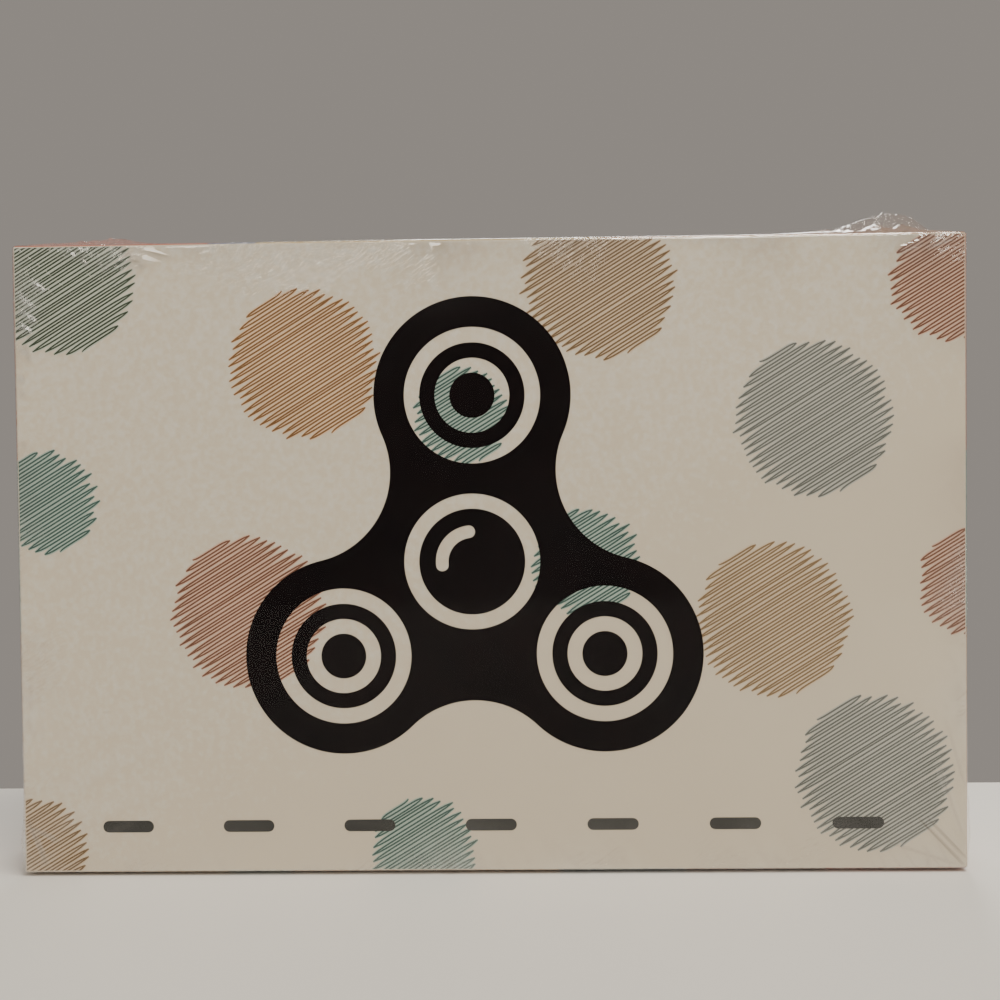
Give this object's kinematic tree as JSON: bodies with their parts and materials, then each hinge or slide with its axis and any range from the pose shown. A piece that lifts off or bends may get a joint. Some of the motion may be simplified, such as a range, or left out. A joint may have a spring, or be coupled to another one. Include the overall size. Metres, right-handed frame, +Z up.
{
  "type": "boxed game spinner",
  "caption": "Flat two-piece card box in clear shrink film, holding a three-lobed ball-bearing spinner that turns in the round well of a formed tray.",
  "frame": {"origin": "middle of the box's underside, on the surface that it stands on", "axes": "+X along the box's long side, +Y from the printed front to the back, +Z up"},
  "size_m": [0.2432, 0.038, 0.162],
  "materials": {
    "greyboard": "matt grey card",
    "printed_paper": "satin printed paper",
    "stay_paper": "gummed kraft paper",
    "white_paper": "matt paper",
    "tray_plastic": "formed plastic sheet",
    "clear_film": "clear shrink film",
    "frame_plastic": "fine texture",
    "cap_plastic": "satin",
    "bearing_steel": "ground and polished",
    "ball_steel": "polished",
    "cage_steel": "pressed",
    "shield_rubber": "moulded on steel"
  },
  "bodies": {
    "base": {"base_board": "greyboard", "base_printed_wrap": "printed_paper", "base_corner_stays": "stay_paper", "base_liner": "white_paper", "insert_tray": "tray_plastic", "film_back_half": "clear_film", "hub_bearing_inner_ring": "bearing_steel", "front_finger_cap": "cap_plastic", "rear_finger_cap": "cap_plastic"},
    "lid": {"lid_board": "greyboard", "lid_printed_wrap": "printed_paper", "lid_corner_stays": "stay_paper", "lid_liner": "white_paper", "film_front_half": "clear_film"},
    "rotor": {"spinner_frame": "frame_plastic", "hub_bearing_outer_ring": "bearing_steel", "hub_bearing_front_shield": "shield_rubber", "hub_bearing_rear_shield": "shield_rubber", "lobe_a_bearing_outer_ring": "bearing_steel", "lobe_a_bearing_front_shield": "shield_rubber", "lobe_a_bearing_rear_shield": "shield_rubber", "lobe_b_bearing_outer_ring": "bearing_steel", "lobe_b_bearing_front_shield": "shield_rubber", "lobe_b_bearing_rear_shield": "shield_rubber", "lobe_c_bearing_outer_ring": "bearing_steel", "lobe_c_bearing_front_shield": "shield_rubber", "lobe_c_bearing_rear_shield": "shield_rubber"},
    "hub_cage": {"hub_bearing_ball_cage": "cage_steel", "hub_bearing_balls": "ball_steel"},
    "lobe_a_centre": {"lobe_a_bearing_inner_ring": "bearing_steel", "lobe_a_plug": "cap_plastic"},
    "lobe_a_cage": {"lobe_a_bearing_ball_cage": "cage_steel", "lobe_a_bearing_balls": "ball_steel"},
    "lobe_b_centre": {"lobe_b_bearing_inner_ring": "bearing_steel", "lobe_b_plug": "cap_plastic"},
    "lobe_b_cage": {"lobe_b_bearing_ball_cage": "cage_steel", "lobe_b_bearing_balls": "ball_steel"},
    "lobe_c_centre": {"lobe_c_bearing_inner_ring": "bearing_steel", "lobe_c_plug": "cap_plastic"},
    "lobe_c_cage": {"lobe_c_bearing_ball_cage": "cage_steel", "lobe_c_bearing_balls": "ball_steel"}
  },
  "joints": [
    {"name": "lid_pull", "type": "slide", "parent": "base", "child": "lid", "axis": [0, -1, 0], "range_m": [0, 0.06]},
    {"name": "spinner_spin", "type": "hinge", "parent": "base", "child": "rotor", "pos_m": [0, -0.0074, 0.0804], "axis": [0, -1, 0], "continuous": true},
    {"name": "hub_cage_spin", "type": "hinge", "parent": "base", "child": "hub_cage", "pos_m": [0, -0.0074, 0.0804], "axis": [0, -1, 0], "continuous": true},
    {"name": "lobe_a_spin", "type": "hinge", "parent": "rotor", "child": "lobe_a_centre", "pos_m": [0, -0.0074, 0.1074], "axis": [0, -1, 0], "continuous": true},
    {"name": "lobe_a_cage_spin", "type": "hinge", "parent": "rotor", "child": "lobe_a_cage", "pos_m": [0, -0.0074, 0.1074], "axis": [0, -1, 0], "continuous": true},
    {"name": "lobe_b_spin", "type": "hinge", "parent": "rotor", "child": "lobe_b_centre", "pos_m": [-0.02338, -0.0074, 0.0669], "axis": [0, -1, 0], "continuous": true},
    {"name": "lobe_b_cage_spin", "type": "hinge", "parent": "rotor", "child": "lobe_b_cage", "pos_m": [-0.02338, -0.0074, 0.0669], "axis": [0, -1, 0], "continuous": true},
    {"name": "lobe_c_spin", "type": "hinge", "parent": "rotor", "child": "lobe_c_centre", "pos_m": [0.02338, -0.0074, 0.0669], "axis": [0, -1, 0], "continuous": true},
    {"name": "lobe_c_cage_spin", "type": "hinge", "parent": "rotor", "child": "lobe_c_cage", "pos_m": [0.02338, -0.0074, 0.0669], "axis": [0, -1, 0], "continuous": true}
  ],
  "couplings": [
    {"joint": "hub_cage_spin", "follows": "spinner_spin", "ratio": 0.6323},
    {"joint": "lobe_a_cage_spin", "follows": "lobe_a_spin", "ratio": 0.3677},
    {"joint": "lobe_b_cage_spin", "follows": "lobe_b_spin", "ratio": 0.3677},
    {"joint": "lobe_c_cage_spin", "follows": "lobe_c_spin", "ratio": 0.3677}
  ]
}
